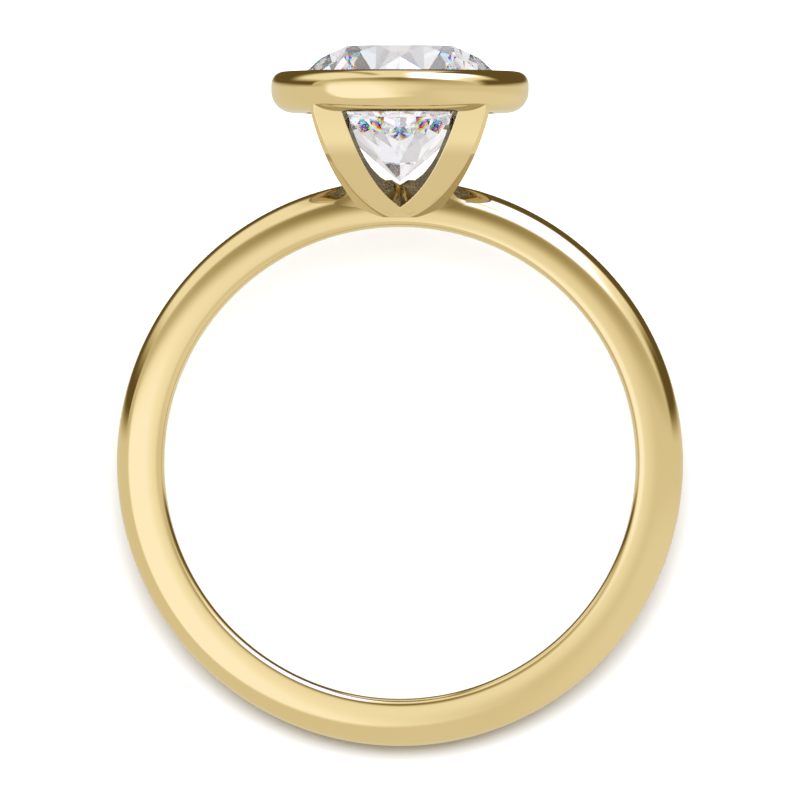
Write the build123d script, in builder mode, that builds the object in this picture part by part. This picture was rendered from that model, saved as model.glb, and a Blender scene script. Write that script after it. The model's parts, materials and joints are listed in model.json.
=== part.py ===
from build123d import *
from math import asin, atan, atan2, cos, degrees, hypot, radians, sin, tan
import os

# A bezel set engagement ring, lying on its side as it rests by itself.
# Lengths are millimetres and angles are degrees. The ring is made in its own frame first: the centre
# of the finger hole is the origin, the finger runs along Y, and the stone is above the hole, along Z.
# It is then laid down on the XY plane, with the stone pointing along +Y.

# Band: half oval outside, with its inner edges eased for the finger
finger_hole_radius = 8.65
band_thickness = 1.73
band_width = 2.0
dome_height = 1.36
inner_edge_radius = 0.32

# Stone: a round brilliant of 57 facets
stone_radius = 3.90
girdle_thickness = 0.19
table_radius = 2.105
crown_angle = 37.0
star_facet_reach = 0.965
pavilion_angle = 41.35
lower_facet_reach = 3.00

# Bezel: the collar that holds the stone by its girdle
head_rise = 3.97
bezel_height = 1.52
bezel_wall = 0.80
rim_rounding = 0.47
underside_rounding = 0.81
girdle_depth = 0.42
lip_reach = 0.38
seat_reach = 0.48
stone_gap = 0.03

# Basket: the four arms between the band and the bezel, cut from a bowl with four flat sides
foot_cover = 0.34
bowl_foot_radius = 1.17
bowl_radius = 4.53
bowl_sweep = 6.78
flat_foot_distance = 1.34
flat_foot_rise = 0.11
flat_distance = 3.264
flat_sweep = 8.69
arm_overlap = 0.42
pavilion_clearance = 0.06

# Windows between the arms: pointed arches hanging from the bezel, wider at their mouths
mouth_margin = 0.336
mouth_half_width = 2.17
mouth_drop = 4.59
mouth_sweep = 17.9
middle_half_width = 1.618
middle_drop = 2.632
middle_sweep = 3.086

# Heights above the centre of the finger hole
band_crest = finger_hole_radius + band_thickness
bezel_top = band_crest + head_rise
bezel_bottom = bezel_top - bezel_height
foot_height = finger_hole_radius + foot_cover
flat_foot_top = foot_height + flat_foot_rise
dome_centre = band_crest - dome_height
girdle_top = bezel_top - girdle_depth
girdle_bottom = girdle_top - girdle_thickness

# Sixteen directions run round the stone: main facets on the odd ones, ridges on the even ones
half_step = 360 / 16
ridge_directions = [2 * half_step * n for n in range(8)]
main_directions = [direction + half_step for direction in ridge_directions]
ridge_share = cos(radians(half_step))
crown_slope = tan(radians(crown_angle))
pavilion_slope = tan(radians(pavilion_angle))
table_height = girdle_top + (stone_radius - table_radius) * crown_slope
culet_height = girdle_bottom - stone_radius * pavilion_slope


def stone_point(distance, direction, height):
    """Point at a distance from the stone's axis, in one of its directions, at a height."""
    turn = radians(direction)
    return Vector(distance * cos(turn), distance * sin(turn), height)


def facet_through(first, second, third):
    """Plane through three points on the stone, facing out of it."""
    facing = (second - first).cross(third - first)
    inside = Vector(0, 0, girdle_bottom)
    if facing.dot(first - inside) < 0:
        facing = -facing
    return Plane(origin=first, z_dir=facing)


def main_facet(direction, girdle, rise):
    """Plane of a main facet, which meets the girdle square on and rises towards the axis."""
    edge = stone_point(stone_radius, direction, girdle)
    across = stone_point(1, direction + 90, 0)
    middle = Vector(0, 0, girdle + rise * stone_radius)
    return facet_through(edge, edge + across, middle)


def girdle_facet(direction, side, apex, girdle):
    """Plane from a point on a ridge down to half a step of the girdle, on one side of the ridge."""
    straight = stone_point(stone_radius, direction, girdle)
    aside = stone_point(stone_radius, direction + side * half_step, girdle)
    return facet_through(apex, straight, aside)


def star_facet(direction):
    """Plane of a star facet, from one side of the table down to the top of a crown ridge."""
    side_middle = stone_point(table_edge, direction, table_height)
    along_side = stone_point(1, direction + 90, 0)
    apex = stone_point(star_apex, direction, star_apex_height)
    return facet_through(side_middle, side_middle + along_side, apex)


def pointed_arch(plane, half_width, drop, sweep):
    """Sketch of a window: a pointed arch upside down, hanging from the bezel's underside."""
    tip = (0, bezel_bottom - drop)
    with BuildSketch(plane) as arch:
        with BuildLine():
            RadiusArc((half_width, bezel_bottom), tip, sweep)
            RadiusArc(tip, (-half_width, bezel_bottom), sweep)
            Line((-half_width, bezel_bottom), (half_width, bezel_bottom))
        make_face()
    return arch.sketch


def flat_sides(plane):
    """Sketch of the basket's outline between two opposite flat sides."""
    arm_top = bezel_bottom + arm_overlap
    with BuildSketch(plane) as outline:
        with BuildLine():
            Line((0, foot_height), (flat_foot_distance, foot_height))
            Line((flat_foot_distance, foot_height), (flat_foot_distance, flat_foot_top))
            RadiusArc((flat_foot_distance, flat_foot_top), (flat_distance, bezel_bottom), -flat_sweep)
            Line((flat_distance, bezel_bottom), (flat_distance, arm_top))
            Line((flat_distance, arm_top), (0, arm_top))
            mirror(about=Plane.YZ)
        make_face()
    return outline.sketch


# Round brilliant stone, split from a cylinder one facet after another
table_edge = table_radius * ridge_share
star_apex = table_edge + star_facet_reach
star_apex_height = girdle_top + (stone_radius - star_apex * ridge_share) * crown_slope
lower_apex = stone_radius - lower_facet_reach
lower_apex_height = culet_height + lower_apex * ridge_share * pavilion_slope

with BuildPart() as cut_stone:
    with BuildSketch(Plane.XY.offset(culet_height - stone_radius)):
        Circle(stone_radius)
    extrude(amount=table_height - culet_height + stone_radius)
    for direction in ridge_directions:
        upper = stone_point(star_apex, direction, star_apex_height)
        lower = stone_point(lower_apex, direction, lower_apex_height)
        for side in (-1, 1):
            split(bisect_by=girdle_facet(direction, side, lower, girdle_bottom), keep=Keep.BOTTOM)
            split(bisect_by=girdle_facet(direction, side, upper, girdle_top), keep=Keep.BOTTOM)
    for direction in main_directions:
        split(bisect_by=main_facet(direction, girdle_bottom, -pavilion_slope), keep=Keep.BOTTOM)
        split(bisect_by=main_facet(direction, girdle_top, crown_slope), keep=Keep.BOTTOM)
    for direction in ridge_directions:
        split(bisect_by=star_facet(direction), keep=Keep.BOTTOM)

# Window through the basket along Y, one arch at each mouth and a smaller one in the middle
mouth_distance = flat_distance + mouth_margin
with BuildPart() as window:
    sections = [
        pointed_arch(Plane.XZ.offset(-mouth_distance), mouth_half_width, mouth_drop, mouth_sweep),
        pointed_arch(Plane.XZ, middle_half_width, middle_drop, middle_sweep),
        pointed_arch(Plane.XZ.offset(mouth_distance), mouth_half_width, mouth_drop, mouth_sweep),
    ]
    loft(sections=sections, ruled=True)

# Basket: a bowl of revolution, cut to four flat sides, with its two side windows
with BuildPart() as basket:
    with BuildSketch(Plane.XZ):
        with BuildLine():
            Line((0, foot_height), (bowl_foot_radius, foot_height))
            RadiusArc((bowl_foot_radius, foot_height), (bowl_radius, bezel_bottom), -bowl_sweep)
            Line((bowl_radius, bezel_bottom), (bowl_radius, bezel_bottom + arm_overlap))
            Line((bowl_radius, bezel_bottom + arm_overlap), (0, bezel_bottom + arm_overlap))
            Line((0, bezel_bottom + arm_overlap), (0, foot_height))
        make_face()
    revolve(axis=Axis.Z)
    extrude(flat_sides(Plane.XZ), amount=2 * bowl_radius, both=True, mode=Mode.INTERSECT)
    extrude(flat_sides(Plane.YZ), amount=2 * bowl_radius, both=True, mode=Mode.INTERSECT)
    add(window.part, rotation=(0, 0, 90), mode=Mode.SUBTRACT)

# Cast ring: band, basket and bezel in one piece of gold, pierced front to back and bored for the stone
pocket_radius = stone_radius + stone_gap
bezel_radius = pocket_radius + bezel_wall
lip_radius = pocket_radius - lip_reach
bore_radius = pocket_radius - seat_reach
upper_slope = (star_apex_height - girdle_top) / (stone_radius - star_apex)
lower_slope = (girdle_bottom - lower_apex_height) / (stone_radius - lower_apex)
upper_gap = stone_gap / cos(atan(upper_slope))
lower_gap = stone_gap / cos(atan(lower_slope))
lip_edge = girdle_top + upper_gap + (stone_radius - lip_radius) * upper_slope
lip_root = girdle_top + upper_gap + (stone_radius - pocket_radius) * upper_slope
seat_outer = girdle_bottom - lower_gap + (pocket_radius - stone_radius) * lower_slope
seat_inner = girdle_bottom - lower_gap + (bore_radius - stone_radius) * lower_slope
cone_tip = girdle_bottom - stone_radius * lower_slope - pavilion_clearance / cos(atan(lower_slope))
cone_radius = (bezel_bottom - cone_tip) / lower_slope
floor_height = culet_height - pavilion_clearance
floor_radius = (floor_height - cone_tip) / lower_slope
half_width = band_width / 2
edge_radius = min(inner_edge_radius, band_thickness - dome_height)
edge_centre = half_width - edge_radius

with BuildPart() as cast_ring:
    add(basket.part)
    with BuildSketch(Plane.YZ):
        with BuildLine():
            EllipticalCenterArc((0, dome_centre), half_width, dome_height, arc_size=180)
            Line((half_width, dome_centre), (half_width, finger_hole_radius + edge_radius))
            RadiusArc((half_width, finger_hole_radius + edge_radius),
                      (edge_centre, finger_hole_radius), edge_radius)
            Line((edge_centre, finger_hole_radius), (-edge_centre, finger_hole_radius))
            RadiusArc((-edge_centre, finger_hole_radius),
                      (-half_width, finger_hole_radius + edge_radius), edge_radius)
            Line((-half_width, finger_hole_radius + edge_radius), (-half_width, dome_centre))
        make_face()
    revolve(axis=Axis.Y)
    with BuildSketch(Plane.XZ):
        with BuildLine():
            Line((0, bezel_bottom), (bezel_radius - underside_rounding, bezel_bottom))
            RadiusArc((bezel_radius - underside_rounding, bezel_bottom),
                      (bezel_radius, bezel_bottom + underside_rounding), -underside_rounding)
            Line((bezel_radius, bezel_bottom + underside_rounding), (bezel_radius, bezel_top - rim_rounding))
            RadiusArc((bezel_radius, bezel_top - rim_rounding),
                      (bezel_radius - rim_rounding, bezel_top), -rim_rounding)
            Line((bezel_radius - rim_rounding, bezel_top), (0, bezel_top))
            Line((0, bezel_top), (0, bezel_bottom))
        make_face()
    revolve(axis=Axis.Z)
    add(window.part, mode=Mode.SUBTRACT)
    with BuildSketch(Plane.XZ):
        with BuildLine():
            Polyline(
                (0, floor_height),
                (floor_radius, floor_height),
                (cone_radius, bezel_bottom),
                (bore_radius, bezel_bottom),
                (bore_radius, seat_inner),
                (pocket_radius, seat_outer),
                (pocket_radius, lip_root),
                (lip_radius, lip_edge),
                (lip_radius, table_height),
                (0, table_height),
                close=True,
            )
        make_face()
    revolve(axis=Axis.Z, mode=Mode.SUBTRACT)

# Lying on its side, the ring touches the ground with the bezel's lower rounding and the band's far side.
# How far the band's dome reaches down depends on the lean, so a few corrections settle both.
bezel_round_distance = bezel_radius - underside_rounding
contact_length = bezel_bottom + underside_rounding + dome_centre
span = hypot(contact_length, bezel_round_distance)
lean = 0
for correction in range(6):
    dome_reach = hypot(half_width * cos(lean), dome_height * sin(lean))
    lean = atan2(bezel_round_distance, contact_length) + asin((underside_rounding - dome_reach) / span)
leaning = Plane(origin=(0, 0, 0), x_dir=(1, 0, 0), z_dir=(0, cos(lean), sin(lean)))
footprint = Compound([cast_ring.part, cut_stone.part]).moved(leaning.location).bounding_box()
ground_offset = (-footprint.center().X, -footprint.center().Y, -footprint.min.Z)
resting = Plane(origin=ground_offset, x_dir=(1, 0, 0), z_dir=(0, cos(lean), sin(lean)))

with BuildPart(resting) as gold_ring:
    add(cast_ring.part)

with BuildPart(resting) as round_stone:
    add(cut_stone.part)

gold_ring.part.label = "gold_ring"
round_stone.part.label = "round_stone"

os.makedirs("parts", exist_ok=True)
export_step(gold_ring.part, "parts/gold_ring.step")
export_step(round_stone.part, "parts/round_stone.step")

hole_centre = resting.origin
print("lean of the ring:", round(degrees(lean), 3))
print("centre of the finger hole:", [round(value, 4) for value in hole_centre])
print("volumes:", round(gold_ring.part.volume, 3), round(round_stone.part.volume, 3))
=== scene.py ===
import bmesh
import bpy
import json
from math import asin, atan2, cos, degrees, pi, radians, sin, sqrt
from mathutils import Matrix, Vector


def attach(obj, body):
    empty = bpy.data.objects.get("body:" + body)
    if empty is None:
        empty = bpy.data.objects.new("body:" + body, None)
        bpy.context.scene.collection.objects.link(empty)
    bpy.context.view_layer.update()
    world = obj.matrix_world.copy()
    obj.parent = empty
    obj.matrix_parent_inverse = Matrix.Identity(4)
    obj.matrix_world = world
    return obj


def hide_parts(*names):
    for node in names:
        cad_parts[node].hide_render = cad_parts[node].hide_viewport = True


# A bezel set engagement ring, lying on its side: polished yellow gold and a round brilliant stone.
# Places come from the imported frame, in metres.

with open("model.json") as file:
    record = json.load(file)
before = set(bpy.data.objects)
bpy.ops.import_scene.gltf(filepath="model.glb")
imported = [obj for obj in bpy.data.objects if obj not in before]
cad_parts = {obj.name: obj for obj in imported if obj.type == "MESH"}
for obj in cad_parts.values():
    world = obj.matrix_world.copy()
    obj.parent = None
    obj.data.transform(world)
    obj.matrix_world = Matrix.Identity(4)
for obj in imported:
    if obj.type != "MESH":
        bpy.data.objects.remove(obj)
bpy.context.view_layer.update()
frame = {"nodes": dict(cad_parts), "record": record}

MILLIMETRE = 0.001

# The ring's own directions: along the finger, from the finger hole to the stone, and across the band
bore = frame["record"]["mounts"][0]
hole_centre = Vector(bore["pos_m"])
finger_way = Vector(bore["axis"]).normalized()
across_way = Vector((1, 0, 0))
stone_way = finger_way.cross(across_way).normalized()

# The ring's own frame, in millimetres: X across, Y along the finger, Z from the finger hole to the stone
turned = Matrix((across_way, -finger_way, stone_way)).transposed().to_4x4()
lying = Matrix.Translation(hole_centre) @ turned @ Matrix.Scale(MILLIMETRE, 4)

# Band, in millimetres: half oval outside, with its inner edges eased
FINGER_HOLE_RADIUS = bore["dims"]["r_mm"]
BAND_THICKNESS = 1.73
BAND_HALF_WIDTH = 1.0
DOME_HEIGHT = 1.36
INNER_EDGE_RADIUS = 0.32

# Bezel
BEZEL_TOP = 14.35
BEZEL_BOTTOM = 12.83
BEZEL_RADIUS = 4.73
RIM_ROUNDING = 0.47
UNDERSIDE_ROUNDING = 0.81
POCKET_RADIUS = 3.93
LIP_RADIUS = 3.55
BORE_RADIUS = 3.45
LIP_EDGE = 14.294
LIP_ROOT = 13.943
SEAT_OUTER = 13.726
SEAT_INNER = 13.294

# Shading of the bezel: from a height just below its rim, it turns up a little more than its shape does
SOFT_START = 13.70
SOFT_TILT = radians(9)

# Basket: a bowl cut to four flat sides, with a pointed window in each
FOOT_HEIGHT = 8.99
FLAT_FOOT_TOP = 9.10
BOWL_FOOT_RADIUS = 1.17
BOWL_RADIUS = 4.53
BOWL_SWEEP = 6.78
FLAT_FOOT_DISTANCE = 1.34
FLAT_DISTANCE = 3.264
FLAT_SWEEP = 8.69
ARM_TOP = 13.25
WINDOW_TOP = 13.50
MOUTH_DISTANCE = 3.60
MOUTH_HALF_WIDTH = 2.17
MOUTH_TIP = 8.24
MOUTH_SWEEP = 17.9
MIDDLE_HALF_WIDTH = 1.618
MIDDLE_TIP = 10.198
MIDDLE_SWEEP = 3.086

# Hollow below the stone
HOLLOW_FLOOR = 10.248
HOLLOW_FLOOR_RADIUS = 0.03
HOLLOW_RADIUS = 2.90

# Smoothness of the gold: steps round a full turn and along one arc
TURN_STEPS = 360
ARC_STEPS = 24
SHARP_ANGLE = radians(20)

# Camera: it looks along the finger, from so far that no perspective shows
VIEW_HEIGHT = 29.34 * MILLIMETRE
AIM_ABOVE_HOLE = 2.303 * MILLIMETRE
CAMERA_DISTANCE = 0.6
SENSOR_WIDTH = 36.0

# Gold: its two tones and its polish, how finely both vary, and how far its edges look softened
GOLD_PALE = (0.955, 0.790, 0.445, 1)
GOLD_DEEP = (0.925, 0.735, 0.385, 1)
GOLD_ROUGHNESS = (0.045, 0.085)
TONE_SCALE = 160.0
POLISH_SCALE = 2600.0
EDGE_RADIUS = 0.05 * MILLIMETRE
EDGE_SAMPLES = 8

# Stone: its index, how a red, a green and a blue glass split light, and the dark tint it gets where gold
# mirrors it, painted shade for the gold round it
STONE_INDEX = 2.42
FIRE_SPREAD = 0.022
FIRE_COLOURS = ((2.4, 0.3, 0.3, 1), (0.3, 2.4, 0.3, 1), (0.3, 0.3, 2.4, 1))
STONE_PAINTED_SHADE = (0.22, 0.20, 0.16, 1)

# Studio: the floor, and the tent as the camera sees it and as it lights the floor
FLOOR_SIZE = 1.5
FLOOR_TONE = 0.90
TENT_SEEN = (1.05, 1.05, 1.07, 1)
TENT_ON_FLOOR = (0.30, 0.30, 0.30, 1)

# Lamp: its size, how far it is from the finger hole's centre, up from the floor and towards the stone
LAMP_SIZE = (100 * MILLIMETRE, 60 * MILLIMETRE)
LAMP_HEIGHT = 50 * MILLIMETRE
LAMP_PAST_HOLE = 24 * MILLIMETRE
LAMP_ENERGY = 0.082

# What polished gold mirrors: light levels of the tent and of the dark and pale things in it
ROUND_CAMERA = 0.84
SURROUNDINGS = 0.715
LOW_RIGHT = 0.78
LEFT_PANEL = 1.06
WALL_BEHIND = 0.12
GAP_MIDDLE = 0.20
GAP_SIDE = 0.45
CEILING = 0.92
RIM_CARD = 0.88
BOX_NEAR = 2.0
BOX_FAR = 0.90
NARROW_STRIP = 0.95

# Green and blue of a light level are powers of it: for levels below 1, and for those above
GREEN_POWERS = (1.14, 1.3)
BLUE_POWERS = (1.6, 3.2)

# Gold mirrored in gold: its level, and how much less it loses its green and its blue
SECOND_MIRROR = (0.6, 1.18, 1.9)

# What the stone shows: patches behind it and on the camera's side, from dark to pale, and a dark card
PATCH_SCALE = 2.6
BEHIND_TONES = (0.72, 1.10)
FACING_TONES = (0.30, 1.35)
CARD_TONE = 0.05
COOLNESS = 1.05

# Paths of light, long enough for the stone's inner reflections
LIGHT_BOUNCES = 24


def link(tree, source, target):
    tree.links.new(source, target)


def give(tree, socket, value):
    """Links a socket to another one, or sets its value."""
    if isinstance(value, bpy.types.NodeSocket):
        link(tree, value, socket)
    else:
        socket.default_value = value


def add_node(tree, kind, **inputs):
    """A node with values or links on its named inputs."""
    node = tree.nodes.new(kind)
    for name, value in inputs.items():
        give(tree, node.inputs[name.replace("_", " ")], value)
    return node


def maths(tree, operation, *values):
    """The result of a Math node on numbers or sockets."""
    node = tree.nodes.new("ShaderNodeMath")
    node.operation = operation
    for place, value in enumerate(values):
        give(tree, node.inputs[place], value)
    return node.outputs[0]


def ramp(tree, value, start, end, low=0.0, high=1.0):
    """A smooth step from low to high as value goes from start to end."""
    node = tree.nodes.new("ShaderNodeMapRange")
    node.interpolation_type = "SMOOTHSTEP"
    for place, number in enumerate((value, start, end, low, high)):
        give(tree, node.inputs[place], number)
    return node.outputs[0]


def along(tree, vector, way):
    """How far a vector reaches along a fixed direction."""
    node = tree.nodes.new("ShaderNodeVectorMath")
    node.operation = "DOT_PRODUCT"
    link(tree, vector, node.inputs[0])
    node.inputs[1].default_value = way
    return node.outputs["Value"]


def level(tree, mask, outside, inside):
    """A light level that goes from one to another, where a mask says."""
    node = tree.nodes.new("ShaderNodeMapRange")
    for place, value in ((0, mask), (3, outside), (4, inside)):
        give(tree, node.inputs[place], value)
    return node.outputs[0]


def blend(tree, mask, outside, inside):
    """A colour that goes from one to another, where a mask says."""
    node = tree.nodes.new("ShaderNodeMix")
    node.data_type = "RGBA"
    for place, value in ((0, mask), (6, outside), (7, inside)):
        give(tree, node.inputs[place], value)
    return node.outputs[2]


def mixed(tree, share, first, second):
    """A shader that goes from one to another, by a share."""
    node = add_node(tree, "ShaderNodeMixShader", Fac=share)
    link(tree, first, node.inputs[1])
    link(tree, second, node.inputs[2])
    return node.outputs[0]


# Camera

def facing_down(place):
    """Where a camera or a lamp stands that looks along the finger, with the stone's side up."""
    return Matrix.Translation(place) @ Matrix((across_way, stone_way, finger_way)).transposed().to_4x4()


def place_camera():
    camera = bpy.data.objects.new("camera", bpy.data.cameras.new("camera"))
    bpy.context.scene.collection.objects.link(camera)
    camera.data.sensor_width = SENSOR_WIDTH
    camera.data.lens = SENSOR_WIDTH * CAMERA_DISTANCE / VIEW_HEIGHT
    camera.data.clip_start = CAMERA_DISTANCE / 20
    camera.data.clip_end = CAMERA_DISTANCE * 20
    aim = hole_centre + AIM_ABOVE_HOLE * stone_way
    camera.matrix_world = facing_down(aim + CAMERA_DISTANCE * finger_way)
    bpy.context.scene.camera = camera


# Studio: a pale floor, a soft white tent, and what polished metal mirrors of it

def both(tree, *masks):
    """A mask where all the masks hold, or the product of any values."""
    held = masks[0]
    for mask in masks[1:]:
        held = maths(tree, "MULTIPLY", held, mask)
    return held


def between(tree, value, start, end, edge):
    """A mask that is 1 between two values, with soft edges."""
    rise = ramp(tree, value, start - edge, start + edge)
    fall = ramp(tree, value, end - edge, end + edge, 1.0, 0.0)
    return both(tree, rise, fall)


def mirrored_tone(tree, ray):
    """The light level that polished gold mirrors from each direction."""
    right = along(tree, ray, across_way)
    up = along(tree, ray, stone_way)
    front = along(tree, ray, finger_way)
    polar = maths(tree, "MULTIPLY", maths(tree, "ARCCOSINE", front), 180 / pi)
    height = maths(tree, "MULTIPLY", maths(tree, "ARCTAN2", up, front), 180 / pi)
    slope = maths(tree, "ADD", height, maths(tree, "MULTIPLY", right, 15.0))
    high = ramp(tree, up, 0.06, 0.20)

    # plain surroundings, paler round the camera and a little paler low on the right
    tone = level(tree, ramp(tree, polar, 4.0, 30.0), ROUND_CAMERA, SURROUNDINGS)
    low_right = both(tree, ramp(tree, right, 0.30, 0.70), ramp(tree, up, -0.02, -0.30))
    tone = level(tree, low_right, tone, LOW_RIGHT)
    # pale panel on the left and below
    leftwards = maths(tree, "MULTIPLY_ADD", up, 0.25, right)
    lower = maths(tree, "MULTIPLY_ADD", right, -27.0, height)
    panel = both(tree, ramp(tree, leftwards, 0.20, -0.40), ramp(tree, polar, 74.0, 66.0))
    panel = both(tree, panel, ramp(tree, lower, -49.0, -39.0), ramp(tree, slope, 40.0, -4.0))
    tone = level(tree, panel, tone, LEFT_PANEL)
    # dark wall behind the stone
    tone = level(tree, both(tree, high, ramp(tree, polar, 70.0, 88.0)), tone, WALL_BEHIND)
    # dark gap above the camera, soft below and sharp above
    gap = both(tree, ramp(tree, slope, 10.0, 40.0), ramp(tree, slope, 60.0, 46.0), high)
    depth = maths(tree, "MULTIPLY_ADD", maths(tree, "ABSOLUTE", right), GAP_SIDE, GAP_MIDDLE)
    tone = level(tree, gap, tone, depth)
    # ceiling on the left
    ceiling = both(tree, ramp(tree, slope, 46.0, 60.0), ramp(tree, right, -0.16, -0.40))
    ceiling = both(tree, ceiling, ramp(tree, up, 0.26, 0.60), ramp(tree, polar, 128.0, 106.0))
    tone = level(tree, ceiling, tone, CEILING)
    # pale card straight above the bezel's rim
    middle = ramp(tree, maths(tree, "ABSOLUTE", right), 0.26, 0.16)
    card = both(tree, middle, ramp(tree, height, 60.0, 72.0), ramp(tree, height, 135.0, 122.0))
    tone = level(tree, card, tone, RIM_CARD)
    # softbox on the right, which pales towards its far side
    box = both(tree, ramp(tree, slope, 48.0, 62.0), ramp(tree, right, 0.00, 0.18))
    box = both(tree, box, ramp(tree, right, 0.94, 0.80), ramp(tree, polar, 108.0, 94.0))
    tone = level(tree, box, tone, level(tree, ramp(tree, right, 0.50, 0.80), BOX_NEAR, BOX_FAR))
    # narrow pale strip where the ceiling meets the softbox
    strip = both(tree, between(tree, polar, 60.0, 72.0, 8.0), ramp(tree, right, -0.50, -0.30))
    strip = both(tree, strip, ramp(tree, right, 0.50, 0.30), high)
    return level(tree, strip, tone, NARROW_STRIP)


def glass_tone(tree, ray):
    """The colour that the stone shows from each direction: pale in uneven patches."""
    right = along(tree, ray, across_way)
    up = along(tree, ray, stone_way)
    front = along(tree, ray, finger_way)
    patches = add_node(tree, "ShaderNodeTexNoise", Vector=ray, Scale=PATCH_SCALE, Detail=1.0)
    behind = ramp(tree, patches.outputs["Fac"], 0.40, 0.60, *BEHIND_TONES)
    facing = ramp(tree, patches.outputs["Fac"], 0.42, 0.58, *FACING_TONES)
    tone = level(tree, ramp(tree, front, -0.35, 0.10), behind, facing)
    # a dark card above, a little to the right
    card = both(tree, ramp(tree, up, 0.70, 0.80), ramp(tree, right, 0.04, 0.12))
    tone = level(tree, both(tree, card, ramp(tree, front, 0.10, -0.05)), tone, CARD_TONE)
    cool = maths(tree, "MULTIPLY", tone, COOLNESS)
    return add_node(tree, "ShaderNodeCombineColor", Red=tone, Green=tone, Blue=cool).outputs[0]


def build_world():
    world = bpy.data.worlds.new("studio")
    bpy.context.scene.world = world
    world.use_nodes = True
    world.cycles.sampling_method = "NONE"
    tree = world.node_tree
    tree.nodes.clear()
    ray = tree.nodes.new("ShaderNodeTexCoord").outputs["Generated"]
    paths = tree.nodes.new("ShaderNodeLightPath")
    # gold mirrored in gold is darker, and not more yellow
    again = ramp(tree, paths.outputs["Glossy Depth"], 1.0, 2.0)
    darker, greener, bluer = [level(tree, again, 1.0, share) for share in SECOND_MIRROR]
    tone = both(tree, mirrored_tone(tree, ray), darker)
    # dark surroundings are warm, bright ones white
    green, blue = [
        maths(tree, "MAXIMUM", *[maths(tree, "POWER", tone, power) for power in powers])
        for powers in (GREEN_POWERS, BLUE_POWERS)
    ]
    warm = add_node(tree, "ShaderNodeCombineColor",
                    Red=tone, Green=both(tree, green, greener), Blue=both(tree, blue, bluer))
    # a ray through the stone also counts as a glossy one, so the stone's colour comes last
    colour = blend(tree, paths.outputs["Is Diffuse Ray"], TENT_SEEN, TENT_ON_FLOOR)
    colour = blend(tree, paths.outputs["Is Glossy Ray"], colour, warm.outputs[0])
    colour = blend(tree, paths.outputs["Is Transmission Ray"], colour, glass_tone(tree, ray))
    background = add_node(tree, "ShaderNodeBackground", Color=colour, Strength=1.0)
    out = tree.nodes.new("ShaderNodeOutputWorld")
    link(tree, background.outputs[0], out.inputs["Surface"])


def hang_light():
    """A broad lamp above the head, which throws the band's shadow away from it. Only the floor shows it."""
    lamp = bpy.data.objects.new("broad_lamp", bpy.data.lights.new("broad_lamp", "AREA"))
    lamp.data.shape = "ELLIPSE"
    lamp.data.size, lamp.data.size_y = LAMP_SIZE
    lamp.data.energy = LAMP_ENERGY
    place = hole_centre + LAMP_PAST_HOLE * stone_way + LAMP_HEIGHT * finger_way
    lamp.matrix_world = facing_down(place)
    lamp.visible_glossy = False
    lamp.visible_transmission = False
    bpy.context.scene.collection.objects.link(lamp)


def lay_floor():
    mesh = bpy.data.meshes.new("floor")
    work = bmesh.new()
    bmesh.ops.create_grid(work, x_segments=1, y_segments=1, size=FLOOR_SIZE / 2)
    work.to_mesh(mesh)
    work.free()
    floor = bpy.data.objects.new("floor", mesh)
    bpy.context.scene.collection.objects.link(floor)
    material = bpy.data.materials.new("floor_white")
    material.use_nodes = True
    tree = material.node_tree
    tree.nodes.clear()
    paper = add_node(tree, "ShaderNodeBsdfDiffuse", Color=(FLOOR_TONE, FLOOR_TONE, FLOOR_TONE, 1))
    out = tree.nodes.new("ShaderNodeOutputMaterial")
    link(tree, paper.outputs[0], out.inputs["Surface"])
    mesh.materials.append(material)
    floor.visible_glossy = False
    floor.visible_transmission = False


# Gold pieces, made in the ring's own frame

def arc(centre, radii, start, end, steps=ARC_STEPS):
    """Points of an arc of a circle or an ellipse, from one angle to another in degrees."""
    turns = [radians(start + (end - start) * step / steps) for step in range(steps + 1)]
    return [(centre[0] + radii[0] * cos(turn), centre[1] + radii[1] * sin(turn)) for turn in turns]


def swept_arc(start, end, sweep, steps=ARC_STEPS):
    """Points of an arc of a given radius between two points, bulging to the right of the way there."""
    first, last = Vector(start), Vector(end)
    chord = last - first
    aside = Vector((-chord.y, chord.x)).normalized()
    centre = (first + last) / 2 + aside * sqrt(sweep ** 2 - chord.length_squared / 4)
    begin = atan2(first.y - centre.y, first.x - centre.x)
    finish = atan2(last.y - centre.y, last.x - centre.x)
    return arc(centre, (sweep, sweep), degrees(begin), degrees(finish), steps)


def outline(work, points, plane, open_ended=False):
    """A line of edges through points in the XZ plane or the YZ plane, at a distance from it."""
    axis, distance = plane
    place = (lambda p: (p[0], distance, p[1])) if axis == "Y" else (lambda p: (distance, p[0], p[1]))
    corners = [work.verts.new(place(point)) for point in points]
    first = 1 if open_ended else 0
    return [work.edges.new((corners[n - 1], corners[n])) for n in range(first, len(corners))]


def closed(work):
    """Merges the seams and turns the faces outwards."""
    bmesh.ops.remove_doubles(work, verts=work.verts[:], dist=1e-5)
    bmesh.ops.recalc_face_normals(work, faces=work.faces[:])
    return work


def spun(points, plane, axis):
    """A solid of revolution. An outline with both its ends on the axis stays open there."""
    work = bmesh.new()
    outline(work, points, plane, points[0][0] == 0 and points[-1][0] == 0)
    bmesh.ops.spin(work, geom=work.verts[:] + work.edges[:], cent=(0, 0, 0), axis=axis, dvec=(0, 0, 0),
                   angle=2 * pi, steps=TURN_STEPS, use_merge=True, use_duplicate=False)
    return closed(work)


def prism(points, plane, way):
    """A solid with one outline all along, as long each way as a vector says."""
    work = bmesh.new()
    edges = outline(work, points, plane)
    bmesh.ops.contextual_create(work, geom=edges)
    bmesh.ops.translate(work, verts=work.verts[:], vec=-Vector(way))
    grown = bmesh.ops.extrude_face_region(work, geom=work.faces[:], use_keep_orig=True)
    moved = [item for item in grown["geom"] if isinstance(item, bmesh.types.BMVert)]
    bmesh.ops.translate(work, verts=moved, vec=2 * Vector(way))
    return closed(work)


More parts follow.
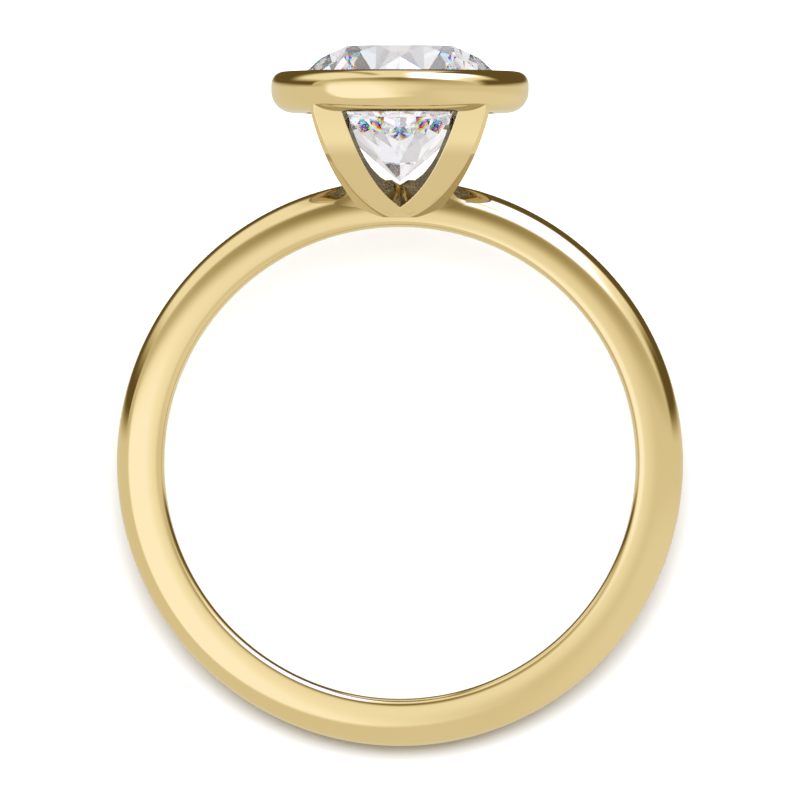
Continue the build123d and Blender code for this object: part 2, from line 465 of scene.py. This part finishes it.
def window_arch(half_width, tip, sweep):
    """Outline of a window: a pointed arch upside down, which ends inside the bezel."""
    right = swept_arc((0, tip), (half_width, BEZEL_BOTTOM), sweep) + [(half_width, WINDOW_TOP)]
    left = [(-across, height) for across, height in reversed(right[1:])]
    return left + right


def window():
    """The opening from front to back: wide at its two mouths and smaller in the middle."""
    mouth = window_arch(MOUTH_HALF_WIDTH, MOUTH_TIP, MOUTH_SWEEP)
    middle = window_arch(MIDDLE_HALF_WIDTH, MIDDLE_TIP, MIDDLE_SWEEP)
    work = bmesh.new()
    loops = [
        outline(work, points, ("Y", distance))
        for points, distance in ((mouth, -MOUTH_DISTANCE), (middle, 0), (mouth, MOUTH_DISTANCE))
    ]
    bmesh.ops.contextual_create(work, geom=loops[0])
    bmesh.ops.contextual_create(work, geom=loops[2])
    bmesh.ops.bridge_loops(work, edges=loops[0] + loops[1])
    bmesh.ops.bridge_loops(work, edges=loops[1] + loops[2])
    return closed(work)


def side_window():
    """The same opening from side to side."""
    work = window()
    bmesh.ops.rotate(work, verts=work.verts[:], cent=(0, 0, 0), matrix=Matrix.Rotation(pi / 2, 3, "Z"))
    return work


def flat_sides():
    """Outline of the basket between two opposite flat sides."""
    foot, top = (FLAT_FOOT_DISTANCE, FLAT_FOOT_TOP), (FLAT_DISTANCE, BEZEL_BOTTOM)
    half = [(0, FOOT_HEIGHT), (FLAT_FOOT_DISTANCE, FOOT_HEIGHT)]
    half += swept_arc(foot, top, FLAT_SWEEP, 2 * ARC_STEPS) + [(FLAT_DISTANCE, ARM_TOP)]
    return half + [(-across, height) for across, height in reversed(half[1:])]


def bowl():
    """Outline of the bowl, from the axis out: it rises ever more steeply up to the bezel."""
    foot, top = (BOWL_FOOT_RADIUS, FOOT_HEIGHT), (BOWL_RADIUS, BEZEL_BOTTOM)
    side = swept_arc(foot, top, BOWL_SWEEP, 2 * ARC_STEPS)
    return [(0, FOOT_HEIGHT)] + side + [(BOWL_RADIUS, ARM_TOP), (0, ARM_TOP)]


def hollow():
    """Outline of the room below the stone: a cone that follows it, and the bezel's bore above."""
    return [(0, HOLLOW_FLOOR), (HOLLOW_FLOOR_RADIUS, HOLLOW_FLOOR), (HOLLOW_RADIUS, BEZEL_BOTTOM),
            (BORE_RADIUS, BEZEL_BOTTOM), (BORE_RADIUS, BEZEL_TOP), (0, BEZEL_TOP)]


def band_section():
    """Outline of the band's section: half oval outside, flat inside with eased edges."""
    crest = FINGER_HOLE_RADIUS + BAND_THICKNESS
    eased = FINGER_HOLE_RADIUS + INNER_EDGE_RADIUS
    side = BAND_HALF_WIDTH - INNER_EDGE_RADIUS
    edge = (INNER_EDGE_RADIUS, INNER_EDGE_RADIUS)
    points = arc((0, crest - DOME_HEIGHT), (BAND_HALF_WIDTH, DOME_HEIGHT), 0, 180, 2 * ARC_STEPS)
    points += arc((-side, eased), edge, 180, 270, ARC_STEPS // 2)
    return points + arc((side, eased), edge, 270, 360, ARC_STEPS // 2)


def bezel_section():
    """Outline of the bezel's section: rounded outside, with the stone's seat and lip inside."""
    under = (BEZEL_RADIUS - UNDERSIDE_ROUNDING, BEZEL_BOTTOM + UNDERSIDE_ROUNDING)
    rim = (BEZEL_RADIUS - RIM_ROUNDING, BEZEL_TOP - RIM_ROUNDING)
    points = [(BORE_RADIUS, BEZEL_BOTTOM)]
    points += arc(under, (UNDERSIDE_ROUNDING, UNDERSIDE_ROUNDING), 270, 360)
    points += arc(rim, (RIM_ROUNDING, RIM_ROUNDING), 0, 90, ARC_STEPS // 2)
    return points + [(LIP_RADIUS, BEZEL_TOP), (LIP_RADIUS, LIP_EDGE), (POCKET_RADIUS, LIP_ROOT),
                     (POCKET_RADIUS, SEAT_OUTER), (BORE_RADIUS, SEAT_INNER)]


def shape(name, work):
    """A new object with the mesh of a bmesh."""
    mesh = bpy.data.meshes.new(name)
    work.to_mesh(mesh)
    work.free()
    made = bpy.data.objects.new(name, mesh)
    bpy.context.scene.collection.objects.link(made)
    return made


def cut(piece, steps):
    """Applies one Boolean after another to a piece, and removes the tools."""
    tools = []
    for operation, work in steps:
        tool = shape(piece.name + "_tool", work)
        modifier = piece.modifiers.new(operation.lower(), "BOOLEAN")
        modifier.operation = operation
        modifier.solver = "EXACT"
        modifier.object = tool
        tools.append(tool)
    bpy.context.view_layer.update()
    held = piece.evaluated_get(bpy.context.evaluated_depsgraph_get())
    mesh = bpy.data.meshes.new_from_object(held)
    piece.modifiers.clear()
    piece.data = mesh
    for tool in tools:
        bpy.data.objects.remove(tool)


def finish_gold(piece, material):
    """Lays a piece down in its place, shades it smooth between its sharp edges, and lets it ride."""
    piece.data.transform(lying)
    piece.data.shade_smooth()
    piece.data.set_sharp_from_angle(angle=SHARP_ANGLE)
    piece.data.materials.clear()
    piece.data.materials.append(material)
    piece.visible_transmission = False
    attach(piece, "root")
    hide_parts("gold_ring")


def soften_rim(bezel):
    """Turns the bezel's shading up a little round the start of its rim, so that the rim begins softly."""
    rim_start = BEZEL_TOP - RIM_ROUNDING
    unlaid = lying.inverted()
    turn = lying.to_quaternion()
    normals = []
    for vertex in bezel.data.vertices:
        place = unlaid @ vertex.co
        outwards = Vector((place.x, place.y, 0))
        below = (place.z - SOFT_START) / (rim_start - SOFT_START)
        above = (BEZEL_TOP - place.z) / RIM_ROUNDING
        if min(below, above) <= 0 or outwards.length < BEZEL_RADIUS - RIM_ROUNDING:
            # a zero normal keeps the shading that the shape gives
            normals.append((0, 0, 0))
            continue
        tilt = asin(max(place.z - rim_start, 0) / RIM_ROUNDING) + min(below, above) * SOFT_TILT
        normals.append(turn @ (outwards.normalized() * cos(tilt) + Vector((0, 0, sin(tilt)))))
    bezel.data.normals_split_custom_set_from_vertices(normals)


def make_gold(material):
    front, side = ("Y", 0), ("X", 0)
    finger, upright = (0, 1, 0), (0, 0, 1)
    band = shape("band", spun(band_section(), side, finger))
    cut(band, [("DIFFERENCE", window()), ("DIFFERENCE", spun(hollow(), front, upright))])
    basket = shape("basket", spun(bowl(), front, upright))
    cut(basket, [
        ("INTERSECT", prism(flat_sides(), front, (0, 2 * BOWL_RADIUS, 0))),
        ("INTERSECT", prism(flat_sides(), side, (2 * BOWL_RADIUS, 0, 0))),
        ("DIFFERENCE", spun(hollow(), front, upright)),
        ("DIFFERENCE", window()),
        ("DIFFERENCE", side_window()),
    ])
    bezel = shape("bezel", spun(bezel_section(), front, upright))
    for piece in (band, basket, bezel):
        finish_gold(piece, material)
    soften_rim(bezel)
    # only the band's shadow shows in the photo
    basket.visible_shadow = bezel.visible_shadow = False


# Materials

def polished_gold():
    material = bpy.data.materials.new("polished_yellow_gold")
    material.use_nodes = True
    tree = material.node_tree
    shader = tree.nodes["Principled BSDF"]
    place = tree.nodes.new("ShaderNodeTexCoord").outputs["Object"]
    tone = add_node(tree, "ShaderNodeTexNoise", Vector=place, Scale=TONE_SCALE, Detail=2.0)
    colour = blend(tree, tone.outputs["Fac"], GOLD_DEEP, GOLD_PALE)
    polish = add_node(tree, "ShaderNodeTexNoise", Vector=place, Scale=POLISH_SCALE, Detail=4.0)
    roughness = level(tree, polish.outputs["Fac"], *GOLD_ROUGHNESS)
    soft_edges = add_node(tree, "ShaderNodeBevel", Radius=EDGE_RADIUS)
    soft_edges.samples = EDGE_SAMPLES
    link(tree, colour, shader.inputs["Base Color"])
    link(tree, roughness, shader.inputs["Roughness"])
    link(tree, soft_edges.outputs[0], shader.inputs["Normal"])
    shader.inputs["Metallic"].default_value = 1
    return material


def clear_stone():
    """Clear glass. The camera sees it split light a little by colour. Where gold mirrors it, it is painted
    dark, as painted shade on the gold round it.
    """
    material = bpy.data.materials.new("cut_stone_glass")
    material.use_nodes = True
    tree = material.node_tree
    tree.nodes.clear()
    # the last glass is painted shade: a dark tint for rays that come from the gold
    red, green, blue, plain, painted_shade = [
        add_node(tree, "ShaderNodeBsdfGlass", Color=colour, Roughness=0.0, IOR=index).outputs[0]
        for colour, index in (
            (FIRE_COLOURS[0], STONE_INDEX - FIRE_SPREAD),
            (FIRE_COLOURS[1], STONE_INDEX),
            (FIRE_COLOURS[2], STONE_INDEX + FIRE_SPREAD),
            ((1, 1, 1, 1), STONE_INDEX),
            (STONE_PAINTED_SHADE, STONE_INDEX),
        )
    ]
    fire = mixed(tree, 1 / 3, mixed(tree, 1 / 2, red, green), blue)
    # plain inside the stone, and painted shade where a mirrored ray enters it, which darkens the gold that
    # mirrors it
    paths = tree.nodes.new("ShaderNodeLightPath")
    entering = ramp(tree, paths.outputs["Transmission Depth"], 0.0, 1.0, 1.0, 0.0)
    stone = mixed(tree, paths.outputs["Is Camera Ray"], mixed(tree, entering, plain, painted_shade), fire)
    out = tree.nodes.new("ShaderNodeOutputMaterial")
    link(tree, stone, out.inputs["Surface"])
    return material


place_camera()
build_world()
hang_light()
lay_floor()
make_gold(polished_gold())
stone = frame["nodes"]["round_stone"]
stone.material_slots[0].material = clear_stone()
stone.visible_shadow = False
bpy.context.scene.view_settings.view_transform = "Standard"
paths = bpy.context.scene.cycles
paths.max_bounces = paths.glossy_bounces = paths.transmission_bounces = LIGHT_BOUNCES
